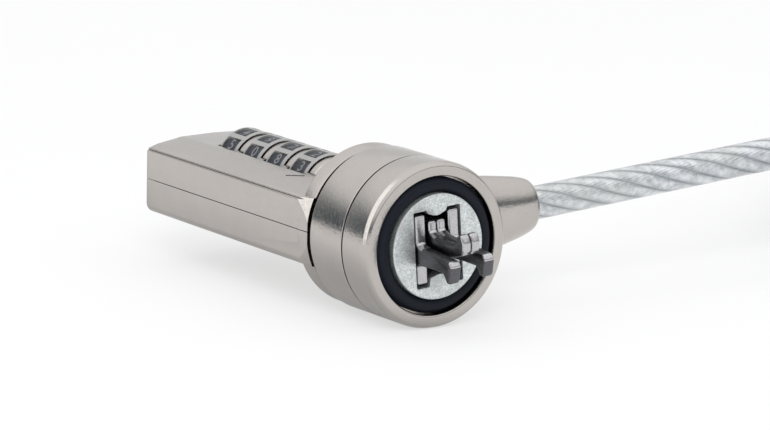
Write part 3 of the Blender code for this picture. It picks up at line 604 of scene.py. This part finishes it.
def coil_strap(width=4.8, thick=0.55, slack=0.35, corner=1.9):
    """A hook-and-loop strap round the coil's section, its end lapped over on top."""
    low, high = COIL_MEAN_R - COIL_HALF - slack, OUTSIDE + slack
    floor, top = BOTTOM - slack, BOTTOM + COIL_HEIGHT + slack
    corners = ((low, floor), (high, floor), (high, top), (low, top))
    inner = ccw(rounded([(*spot, corner) for spot in corners], steps=6))
    outer = inset(inner, -thick)
    rings = []
    half = width / 2
    for t, shrink in ((-half, 0.12), (-half + 0.12, 0.0), (half - 0.12, 0.0), (half, 0.12)):
        a, b = inset(inner, -shrink), inset(outer, shrink)
        rings.append(([(p.x, t, p.y) for p in a], [(p.x, t, p.y) for p in b]))
    bm = bmesh.new()
    made = [[[bm.verts.new(spot) for spot in ring] for ring in pair] for pair in rings]
    for k in (0, 1):
        for here, there in zip(made, made[1:]):
            for i in range(len(here[k])):
                j = (i + 1) % len(here[k])
                bm.faces.new((here[k][i], here[k][j], there[k][j], there[k][i]))
    for pair in (made[0], made[-1]):
        for i in range(len(pair[0])):
            j = (i + 1) % len(pair[0])
            bm.faces.new((pair[0][i], pair[0][j], pair[1][j], pair[1][i]))
    lap = block((COIL_MEAN_R - 4.5, -half + 0.35, top + thick * 0.5),
                (OUTSIDE - 2.2, half - 0.35, top + thick + 0.42))
    bmesh.ops.bevel(lap, geom=lap.edges[:], offset=0.2, segments=2, affect="EDGES")
    mesh = bpy.data.meshes.new("lap")
    lap.to_mesh(mesh)
    lap.free()
    bm.from_mesh(mesh)
    bpy.data.meshes.remove(mesh)
    return bm


CABLE_PATH = smooth_path(cable_route(), 2.2)
cable = put("cable_strands", cable_tube(CABLE_PATH), LOCK, [CABLE], 60.0)
stand_for(cable, "cable_swivel", "cable", "cable_lead", "cable_coil", "cable_tail", "cable_eye")
sleeve = put("eye_sleeve", eye_sleeve(), LOCK @ eye_frame(), [ALLOY], 40.0)
stand_for(sleeve, "cable_swivel", "steel", "eye_ferrule")
straps = []
for number, angle in ((1, 15.0), (2, 135.0)):
    turn = LOCK @ Matrix.Translation((*COIL_C, 0)) @ Matrix.Rotation(math.radians(angle), 4, "Z")
    straps.append(put(f"strap_{number}", coil_strap(), turn, [STRAP], 40.0))
    stand_for(straps[-1], "cable_swivel", "tie", f"coil_tie_{number}")


# ---------------------------------------------------------------- head

def head_pieces():
    pad = RECESS_R - GAP
    collar = rounded([
        (CORE_R + GAP, RECESS_DEPTH, 0), (RECESS_R, RECESS_DEPTH, 0), (RECESS_R, 0, 0.28),
        (HEAD_R - 0.45, 0, 0.25), (HEAD_R - 0.18, 0.32, 0.3), (HEAD_R, 1.0, 0.5), (HEAD_R, COLLAR_END, 0.09),
        (CORE_R + GAP, COLLAR_END, 0),
    ], steps=6)
    obj = put("collar", lathe(collar, steps=256), LOCK, [NICKEL])
    stand_for(obj, "housing", "nickel", "front_collar")
    ring = rounded([
        (CORE_R + 0.1, RECESS_DEPTH - 0.1, 0), (CORE_R + 0.1, 0.5, 0.3), (CORE_R + 0.5, 0.05, 0.5),
        (pad - 0.45, 0.05, 0.6), (pad + 0.1, 0.65, 0.4), (pad + 0.1, RECESS_DEPTH - 0.1, 0),
    ], steps=7)
    obj = put("rubber_pad", lathe(ring, steps=192), LOCK, [RUBBER])
    stand_for(obj, "housing", "rubber", "rubber_ring")


def core_piece():
    groove = FLANGE_START - GAP
    profile = rounded([
        (0, CORE_FACE, 0), (CORE_R, CORE_FACE, 0.22), (CORE_R, groove, 0), (5.95, groove, 0),
        (5.95, groove + 1.2, 0), (CORE_R, groove + 1.2, 0), (CORE_R, CORE_END, 0.15),
        (CORE_BORE, CORE_END, 0), (CORE_BORE, 3.0, 0), (0, 3.0, 0),
    ], closed=False, steps=4)
    core = put("core", lathe(profile, steps=192), HOOKS, [ZINC])
    half, tall = 3.45, 4.8
    slot = ccw(rounded([
        (-half, -tall, 0.2), (-1.55, -tall, 0.12), (-1.35, -3.7, 0.2), (0, -3.4, 1.5), (1.35, -3.7, 0.2),
        (1.55, -tall, 0.12), (half, -tall, 0.2), (half, tall, 0.2), (1.55, tall, 0.12), (1.3, 4.35, 0.2),
        (0, 3.85, 1.5), (-1.3, 4.35, 0.2), (-1.55, tall, 0.12), (-half, tall, 0.2),
    ], steps=3))
    cutter = loft([[(p.x, y, p.y) for p in slot] for y in (-1.0, 3.6)])
    bore = rod(PIN_R, -8, 8, "X", (0, PIVOT_Y, 0), 32)
    combine(core, [(cutter, HOOKS), (bore, HOOKS)])
    bevel(core, 0.09, 55)
    shade(core.data, 32)
    stand_for(core, "housing", "zinc", "hook_core")


def drive_slot(sign):
    half, steps, path = PIN_R + GAP, 8, []
    for k in range(steps + 1):
        travel = -half + (TRAVEL + 2 * half) * k / steps
        turn = sign * HOOK_SWING * travel / TRAVEL
        reach = DRIVE_REACH - travel
        path.append(Vector((PIVOT_Y + reach * math.cos(turn), reach * math.sin(turn))))
    return [p - Vector((0, half)) for p in reversed(path)] + [p + Vector((0, half)) for p in path]


def hook_pieces():
    face = CORE_FACE + 0.05
    tail = PIVOT_Y + DRIVE_REACH + 1.7
    outer = [
        (-0.62, 0.72, 0.5), (-1.6, 0.42, 1.5), (-3.6, 0.22, 2), (-6.3, 0.02, 1.5), (-7.3, -0.08, 0.5),
        (-7.7, -0.62, 0.4), (-7.28, -2.5, 0.5), (-6.98, -2.92, 0.35), (-6.4, -2.88, 0.4), (-6.0, -2.2, 0.6),
        (-5.6, -1.76, 0.5), (-3.0, -1.72, 2), (-0.85, -1.78, 0.3), (face, -2.0, 0.2), (face, -4.3, 0.2),
        (1.6, -4.3, 0.3), (2.2, -1.9, 0.3), (tail, -1.9, 0.4), (tail, 2.5, 0.4), (2.2, 2.5, 0.3),
        (1.6, 4.3, 0.3), (face, 4.3, 0.2), (face, 0.95, 0.2),
    ]
    inner = [
        (-0.6, 1.95, 0.4), (-1.6, 1.6, 1), (-3.0, 1.38, 2), (-4.7, 1.38, 1.5), (-5.6, 1.62, 0.8),
        (-6.05, 2.25, 0.6), (-6.4, 2.86, 0.55), (-7.2, 2.88, 0.65), (-7.62, 1.9, 0.8), (-7.58, 0.9, 0.8),
        (-7.1, 0.35, 0.8), (-6.3, 0.05, 1.5), (-4.5, -0.45, 2), (-2.0, -0.9, 2), (-0.7, -1.1, 0.4),
        (face, -1.4, 0.25), (face, -2.4, 0.3), (1.6, -2.4, 0.4), (tail, -2.5, 0.4), (tail, 1.9, 0.4),
        (1.6, 3.3, 0.4), (face, 3.35, 0.3), (face, 2.2, 0.25),
    ]
    for name, shape, sign, start, end, edge, body in (
            ("hook_outer_left", outer, 1, -3.2, -1.7, 0.28, "hooks_outer"),
            ("hook_outer_right", outer, 1, 1.7, 3.2, 0.28, "hooks_outer"),
            ("hook_inner_left", inner, -1, -1.25, -0.06, 0.3, "hooks_inner"),
            ("hook_inner_right", inner, -1, 0.06, 1.25, 0.3, "hooks_inner")):
        bm = plate(rounded(shape, steps=4), start, end, edge, 1)
        for side in bm.faces:  # painted shade: the arms' edges, which lie in shade, take the dark side steel, but not the tips'
            spot = side.calc_center_median()
            tip = spot.y < -7.0 and (sign < 0 or spot.z > -1.0)
            if spot.y < -1.1 and not tip:
                side.material_index = 1
        obj = put(f"{name}_plate", bm, HOOKS, [HOOK_EDGE, HOOK_SIDE_AND_SHADE])
        reach = (start - 1, end + 1)
        hole = rod(PIN_R + 0.25, *reach, "X", (0, PIVOT_Y, 0), 32)
        slot = loft([[(x, p.x, p.y) for p in ccw(drive_slot(sign))] for x in reach])
        combine(obj, [(hole, HOOKS), (slot, HOOKS)])
        shade(obj.data, 32)
        stand_for(obj, body, "steel", name)


def swivel_piece():
    edge = 0.1
    profile = rounded([
        (CORE_R + GAP, RING_START, 0), (HEAD_R, RING_START, edge),
        (HEAD_R, RING_END - 0.5, 0.3), (HEAD_R - 0.42, RING_END, 0.1), (CORE_R + GAP, RING_END, 0),
    ], steps=5)
    bm = lathe(profile, steps=256)
    widths = [(7.5, 3.5, 5.3), (10.5, 3.5, 5.25), (13.0, 3.5, 4.95), (15.8, 3.4, 4.45), (18.2, 3.2, 3.98),
              (19.5, 3.0, 3.62), (20.05, 2.86, 3.4), (20.35, 2.7, 3.18), (20.48, 2.5, 2.92),
              (20.5, 2.36, 2.7)]
    path = smooth_path([Vector(w) for w in widths], 0.06)
    count, fillet, tip = 96, 1.1, 20.5
    hole, mouth = CABLE_R + 0.08, 0.08

    def boss_at(x):
        """Half the boss's width and height at a distance x from the head's axis."""
        for a, b in zip(path, path[1:]):
            if a.x <= x <= b.x:
                mix = a.lerp(b, (x - a.x) / (b.x - a.x))
                return mix.y, mix.z
        return path[-1].y, path[-1].z

    columns = []
    for k in range(count):
        turn = 2 * math.pi * k / count
        c, s = math.cos(turn), math.sin(turn)

        def skin(x):
            wide, tall = boss_at(x)
            return Vector((x, CABLE_Y + wide * c, tall * s))

        x = HEAD_R
        for _ in range(12):
            x = math.sqrt(max(0.0, HEAD_R ** 2 - skin(x).z ** 2))
        corner = skin(x)
        along = Vector((-corner.z, 0, corner.x)).normalized() * (1 if s > 0 else -1)
        reach = fillet * abs(s)
        low = corner + along * reach
        scale = HEAD_R / math.hypot(low.x, low.z)
        low.x, low.z = low.x * scale, low.z * scale
        high = skin(x + max(reach, 0.15))
        column = [Vector((7.4, CABLE_Y + 3.3 * c, 4.6 * s))]
        sunk = low.copy()
        sunk.x, sunk.z = sunk.x * 0.96, sunk.z * 0.96
        column.append(sunk)
        for i in range(7):
            t = i / 6
            column.append(low * (1 - t) ** 2 + corner * 2 * t * (1 - t) + high * t * t)
        first = x + max(reach, 0.15)
        for i in range(1, 31):
            column.append(skin(first + (tip - first) * math.sin(math.pi / 2 * i / 30)))
        column.append(Vector((tip, CABLE_Y + (hole + mouth) * c, (hole + mouth) * s)))
        column.append(Vector((tip - 0.1, CABLE_Y + hole * c, hole * s)))
        column.append(Vector((12.7, CABLE_Y + hole * c, hole * s)))
        columns.append(column)
    rings = [[column[i] for column in columns] for i in range(len(columns[0]))]
    boss = loft(rings)
    mesh = bpy.data.meshes.new("boss")
    boss.to_mesh(mesh)
    boss.free()
    bm.from_mesh(mesh)
    bpy.data.meshes.remove(mesh)
    obj = put("swivel", bm, SWIVEL, [NICKEL], 38)
    stand_for(obj, "cable_swivel", "nickel", "swivel_ring")


head_pieces()
core_piece()
hook_pieces()
swivel_piece()


# ---------------------------------------------------------------- body

CREST_FROM, CREST_LONG = 30, 18.5  # where the crest begins to widen toward the rear, and over what length
SHELL_START = FLANGE_START + 0.2


def shell_section(ridge, lift, by):
    """The body's outline as (x, z) points, with a groove at the shoulder and a crest of half-width ridge.

    The slope beside the crest is raised by lift, and everything is drawn in by the last value.
    """
    groove = 0.32
    wide, low = BODY_HALF - by, BODY_FLOOR + by
    high, shoulder = BODY_CREST - by, BODY_SHOULDER - by
    half = [(wide, low, 1.0), (wide, shoulder - 0.12, 0.12), (wide - groove, shoulder - 0.04, 0.04),
            (wide - groove, shoulder + 0.06, 0.04), (wide - 0.12, shoulder + 0.13, 0.1),
            (wide - 1.5, shoulder + 0.1 + lift, 1.2),
            (ridge + 1.2, high - 0.35, 1.0), (ridge, high - 0.12, 1.0)]
    return ccw(rounded(half + [(0, high, 0)] + [(-x, z, r) for x, z, r in reversed(half)], steps=8))


def shell_block():
    stations = [(SHELL_START, 0.0)] + [(CREST_FROM + CREST_LONG * k / 8, 0.0) for k in range(9)]
    for k in range(9):
        a = math.radians(90 * k / 8)
        stations.append((BODY_END - 1.2 * (1 - math.sin(a)), 1.0 * (1 - math.cos(a))))
    rings = []
    for y, by in stations:
        back = smooth_step((y - CREST_FROM) / CREST_LONG)
        rings.append([(p.x, y, p.y) for p in shell_section(3.6 + 1.3 * back, 0.25 + 0.25 * back, by)])
    return loft(rings)


def stepped_room(bores, centre_z, sides=96):
    """A cutter along Y from (radius, start) bores, each of which ends where the next one starts."""
    outline = [(0, bores[0][1])]
    for (radius, start), (_, end) in zip(bores, bores[1:]):
        outline += [(radius, start), (radius, end)]
    outline.append((0, bores[-1][1]))
    return lathe(outline, "Y", (0, 0, centre_z), sides)


def body_pieces():
    last = DIAL_FIRST + (DIAL_COUNT - 1) * DIAL_PITCH
    room = DIAL_WIDTH / 2 + 0.26

    def rooms():
        """The hollows of the button, the core, the pins, and the dials with their spindle."""
        core = [(7.9, 10), (CORE_R + GAP, FLANGE_START + 0.6 + GAP), (0, CORE_END + GAP)]
        bore = [(SPINDLE_R + GAP, 12), (SLEEVE_R + GAP, 22.4)]
        for n in range(DIAL_COUNT):
            middle = DIAL_FIRST + n * DIAL_PITCH
            bore += [(DIAL_R + GAP, middle - room), (SLEEVE_R + GAP, middle + room)]
        pins = [(x, y) for x in (-7, 7) for y in (19.2, 48.6)]
        return [
            (stepped_room([(3.1, 45.2), (BUTTON_R + GAP, 49.7), (0, 60)], BUTTON_Z), LOCK),
            (stepped_room(core, 0), LOCK),
            *((rod(0.8 + GAP, -2.6, 2.7, "Z", (x, y, 0), 32), LOCK) for x, y in pins),
            (stepped_room(bore + [(0, 45.6)], DIAL_Z, 128), LOCK),
        ]

    flange = rounded([(0, SHELL_START, 0), (FLANGE_R - 0.2, SHELL_START, 0.12),
                      (FLANGE_R + 0.12, FLANGE_END, 0.28), (0, FLANGE_END, 0)], closed=False, steps=8)
    start = FLANGE_START - 0.8
    flare = [(0, start), (FLANGE_R - 0.26, start), (FLANGE_R + 11.63, start + 41), (0, start + 41)]
    ends = (DIAL_FIRST - DIAL_WIDTH / 2 - 1.35, last + DIAL_WIDTH / 2 + 0.4)
    hood = rounded([(0, ends[0] - 0.9, 0), (3.4, ends[0] - 0.9, 0.5), (4.15, ends[0], 0.6),
                    (4.15, ends[1], 0.3), (3.4, ends[1] + 0.7, 0.3), (0, ends[1] + 0.7, 0)],
                   closed=False, steps=8)
    for top, name in ((False, "lower_shell"), (True, "upper_shell")):
        shell = put(name + "_skin", shell_block(), LOCK, [NICKEL])
        combine(shell, [(lathe(flare, steps=256), LOCK)], "INTERSECT")
        combine(shell, [(lathe(flange, steps=256), LOCK)], "UNION")
        if top:
            combine(shell, [(lathe(hood, "Y", (0, 0, DIAL_Z), 128), LOCK)], "UNION")
        side = 1 if top else -1
        level = SPLIT + side * 0.05
        low, high = sorted((level, level + side * 30))
        combine(shell, [(block((-30, 0, low), (30, 80, high)), LOCK)], "INTERSECT")
        tools = rooms()
        if not top:
            tools.append((block((-2.4, 22.7, -3.25), (2.4, 45, -0.6)), LOCK))
        combine(shell, tools)
        bevel(shell, 0.1, 50)
        shade(shell.data, 15)
        stand_for(shell, "housing", "nickel", name)
    tilt = Matrix.Rotation(math.radians(-9.7), 4, "Y") @ Matrix.Rotation(math.radians(30), 4, "Z")
    mark = put("index_mark", block((-0.12, -1.3, -0.4), (0.12, 1.3, 0.07)),
               LOCK @ Matrix.Translation((-5.15, 23.9, 5.04)) @ tilt, [DIAL_METAL])
    stand_for(mark, "housing", "dial")


body_pieces()


# ---------------------------------------------------------------- dials and button

def dial_mesh():
    """A dial about the Y axis: ten sunk cells between raised bars, with chamfered rims."""
    half, bar, sunk, cell_turn = DIAL_WIDTH / 2, math.radians(6.2), 0.24, math.radians(36)
    cell_half = half - 0.5
    turns = []
    for c in range(10):
        start = READ_ANGLE + math.radians(36 * c - 18)
        inside = cell_turn - 2 * bar
        turns += [(start - bar * 0.2, 0), (start + bar * 0.75, 0)]
        turns += [(start + bar + inside * k / 6, 1) for k in range(7)]
        turns += [(start + cell_turn - bar * 0.75, 0)]
    rows = [(-half, 0.18, False), (-half + 0.14, 0.0, False), (-cell_half - 0.05, 0.0, False),
            (-cell_half, 0.0, True), (cell_half, 0.0, True), (cell_half + 0.05, 0.0, False),
            (half - 0.14, 0.0, False), (half, 0.18, False)]
    bore = SLEEVE_R + GAP
    bm = bmesh.new()
    rings = []
    for y, drop, cells in rows:
        ring = []
        for a, cell in turns:
            r = DIAL_R - drop - (sunk if cell and cells else 0.0)
            ring.append(bm.verts.new((r * math.cos(a), y, r * math.sin(a))))
        rings.append(ring)
    for y in (half, -half):
        rings.append([bm.verts.new((bore * math.cos(a), y, bore * math.sin(a))) for a, _ in turns])
    for i, here in enumerate(rings):
        there = rings[(i + 1) % len(rings)]
        for k in range(len(turns)):
            j = (k + 1) % len(turns)
            face = bm.faces.new((here[k], here[j], there[j], there[k]))
            face.material_index = 1 if i == 3 and turns[k][1] and turns[j][1] else 0
    return bm


def digit_mesh(text):
    """A number as a thin plate, centred on the origin, in millimetres."""
    curve = bpy.data.curves.new("digit", "FONT")
    curve.body, curve.align_x, curve.align_y = text, "CENTER", "CENTER"
    curve.size, curve.extrude, curve.resolution_u = 2.1, 0.05, 3
    curve.offset = 0.03
    obj = bpy.data.objects.new("digit", curve)
    bpy.context.scene.collection.objects.link(obj)
    mesh = bpy.data.meshes.new_from_object(obj.evaluated_get(bpy.context.evaluated_depsgraph_get()))
    bpy.data.objects.remove(obj, do_unlink=True)
    bpy.data.curves.remove(curve)
    return mesh


def dial_pieces():
    digits = [digit_mesh(str(k)) for k in range(10)]
    code, digit_depth = (3, 8, 0, 5), 0.27
    for n in range(DIAL_COUNT):
        at = LOCK @ Matrix.Translation((0, DIAL_FIRST + n * DIAL_PITCH, DIAL_Z))
        obj = put(f"dial_{n + 1}_wheel", dial_mesh(), at, [DIAL_METAL, PAINT])
        stand_for(obj, f"dial_unit_{n + 1}", "dial", f"dial_{n + 1}")
        bm = bmesh.new()
        for c in range(10):
            a = READ_ANGLE + math.radians(36 * c)
            out = Vector((math.cos(a), 0, math.sin(a)))
            right, up = Vector((0, -1, 0)), Vector((math.sin(a), 0, -math.cos(a)))
            turn = Matrix((right, up, out)).transposed().to_4x4()
            mesh = digits[(code[n] + c) % 10].copy()
            mesh.transform(Matrix.Translation(out * (DIAL_R - digit_depth)) @ turn)
            bm.from_mesh(mesh)
            bpy.data.meshes.remove(mesh)
        obj = put(f"dial_{n + 1}_numbers", bm, at, [DIGIT])
        stand_for(obj, f"dial_unit_{n + 1}", "dial")
    for mesh in digits:
        bpy.data.meshes.remove(mesh)


def button_piece():
    stop, face, outside = 47.9, 49.4, BODY_END + BUTTON_OUT
    profile = rounded([(0, stop, 0), (2.8, stop, 0.15), (2.8, face, 0.15), (BUTTON_R, face, 0.05),
                       (BUTTON_R, outside, 0.55), (1.5, outside, 0.1), (1.35, outside - 0.14, 0.1),
                       (0.05, outside - 0.2, 0), (0, outside - 0.2, 0)], closed=False, steps=6)
    button = put("button_cap", lathe(profile, "Y", (0, 0, BUTTON_Z), 128), LOCK, [NICKEL])
    socket = rod(0.8 + GAP, stop - 1, 48.6 + GAP, "Y", (0, 0, DIAL_Z), 48)
    combine(button, [(socket, LOCK)])
    shade(button.data, 32)
    stand_for(button, "button", "nickel", "push_button")


dial_pieces()
button_piece()

for names, material in (
        (("spindle", "retaining_clip", "pivot_pin", "drive_pin", "return_spring", "detent_spring",
          "cable_ferrule", "shell_pin_1", "shell_pin_2", "shell_pin_3", "shell_pin_4"), STEEL),
        (("drive_yoke",), ZINC),
        (("code_sleeve_1", "code_sleeve_2", "code_sleeve_3", "code_sleeve_4"), BRASS)):
    for name in names:
        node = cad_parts[name]
        node.data.materials.clear()
        node.data.materials.append(material)


# ---------------------------------------------------------------- studio

FLOOR_HALF = 30000
ROOM_DARK = (0.13, 0.15, 0.165, 1)
PANEL_NORMAL, PANEL_EXTRA = Vector((0.33, 0.914, -0.235)), 0.75  # the panel is a band across this normal


def make_floor():
    bm = bmesh.new()
    for x, y in ((-1, -1), (1, -1), (1, 1), (-1, 1)):
        bm.verts.new((x * FLOOR_HALF, y * FLOOR_HALF, -HEAD_R))
    bm.faces.new(bm.verts[:])
    look = Look("floor", (0.3, 0.3, 0.3), 0.0, 0.9, Specular_IOR_Level=0.1)
    look.drive("Base Color", look.blend(look.noise(60.0, 2), (0.295, 0.295, 0.297), (0.305, 0.305, 0.307)))
    look.shader.inputs["Emission Color"].default_value = (1, 1, 1, 1)
    # painted shadow: glossy rays see the floor's glow cut beside and under the body, so the metal mirrors a
    # darker floor there than in front of the head
    spot = look.node("ShaderNodeSeparateXYZ", {0: look.node("ShaderNodeNewGeometry").outputs["Position"]})
    x, y = spot.outputs[0], spot.outputs[1]  # metres
    near = look.math("MULTIPLY", look.span(x, -0.047, -0.018), look.span(x, 0.012, -0.006))
    near = look.math("MULTIPLY", near, look.span(y, -0.04, -0.02))
    glossy = look.node("ShaderNodeLightPath").outputs["Is Glossy Ray"]
    painted_shadow = look.math("MULTIPLY", glossy, look.span(near, 0.0, 1.0, 0.02, 0.33))
    look.drive("Emission Strength", look.math("SUBTRACT", 0.6, painted_shadow))
    floor = put("floor", bm, LOCK, [look.material])


def make_world():
    """A dark room with a white ceiling, a sweep behind the lock, a panel beside it and a low skirt in front.

    Looked at directly, it is plain white.
    """
    world = bpy.data.worlds.new("studio")
    bpy.context.scene.world = world
    world.use_nodes = True
    tree = world.node_tree
    tree.nodes.clear()

    def node(kind, inputs=(), **props):
        return add_node(tree, kind, inputs, **props)

    def combined(operation, *values):
        return node("ShaderNodeMath", dict(enumerate(values)), operation=operation).outputs[0]

    def ramp(value, low, high, to_low=0.0, to_high=1.0, shape="SMOOTHSTEP"):
        inputs = {"Value": value, "From Min": low, "From Max": high, "To Min": to_low, "To Max": to_high}
        return node("ShaderNodeMapRange", inputs, interpolation_type=shape).outputs[0]

    def toward(direction):
        return node("ShaderNodeVectorMath", {0: way, 1: direction}, operation="DOT_PRODUCT").outputs["Value"]

    way = node("ShaderNodeTexCoord").outputs["Generated"]
    x, y, z = node("ShaderNodeSeparateXYZ", {0: way}).outputs
    ceiling = ramp(z, 0.2, 0.56)
    sweep = ramp(toward(Vector((CAMERA_LOOK.x, CAMERA_LOOK.y, 0)).normalized()), 0.35, 0.8, 0.0, 0.76)
    below = ramp(z, -0.02, -0.03, shape="LINEAR")
    across = combined("ABSOLUTE", toward(PANEL_NORMAL))
    panel = combined("MULTIPLY", ramp(across, 0.19, 0.1), ramp(x, -0.1, -0.35))
    skirt = combined("MULTIPLY", ramp(y, -0.1, -0.3, shape="LINEAR"), ramp(z, 0.2, 0.08))
    light = ceiling
    for other in (sweep, below, panel, skirt):
        light = combined("MAXIMUM", light, other)
    tint = node("ShaderNodeMix", data_type="RGBA")
    for socket in tint.inputs:
        if socket.identifier == "Factor_Float":
            tree.links.new(light, socket)
        elif socket.identifier in ("A_Color", "B_Color"):
            socket.default_value = ROOM_DARK if socket.identifier == "A_Color" else (1, 1, 1, 1)
    color = next(s for s in tint.outputs if s.identifier == "Result_Color")
    strength = combined("MULTIPLY_ADD", panel, PANEL_EXTRA, ramp(z, 0.6, 0.9, 1.0, 1.12))
    seen = node("ShaderNodeLightPath").outputs["Is Camera Ray"]
    room = node("ShaderNodeBackground", {"Color": color, "Strength": strength}).outputs[0]
    plain = node("ShaderNodeBackground", {"Color": (1, 1, 1, 1), "Strength": 0.98}).outputs[0]
    mixed = node("ShaderNodeMixShader", {0: seen, 1: room, 2: plain}).outputs[0]
    node("ShaderNodeOutputWorld", {"Surface": mixed})


def make_lamp(name, at, aim, size, power):
    data = bpy.data.lights.new(name, "AREA")
    data.shape, data.size, data.energy = "DISK", size, power
    lamp = bpy.data.objects.new(name, data)
    bpy.context.scene.collection.objects.link(lamp)
    lamp.location = at
    lamp.rotation_mode = "QUATERNION"
    lamp.rotation_quaternion = (Vector(at) - Vector(aim)).to_track_quat("Z", "Y")
    lamp.visible_camera = lamp.visible_glossy = False


make_floor()
make_world()
make_lamp("top_box", (-0.75, -1.0, 0.8), (0, 0, 0), 0.9, 14.0)
bpy.context.scene.view_settings.view_transform = "Standard"
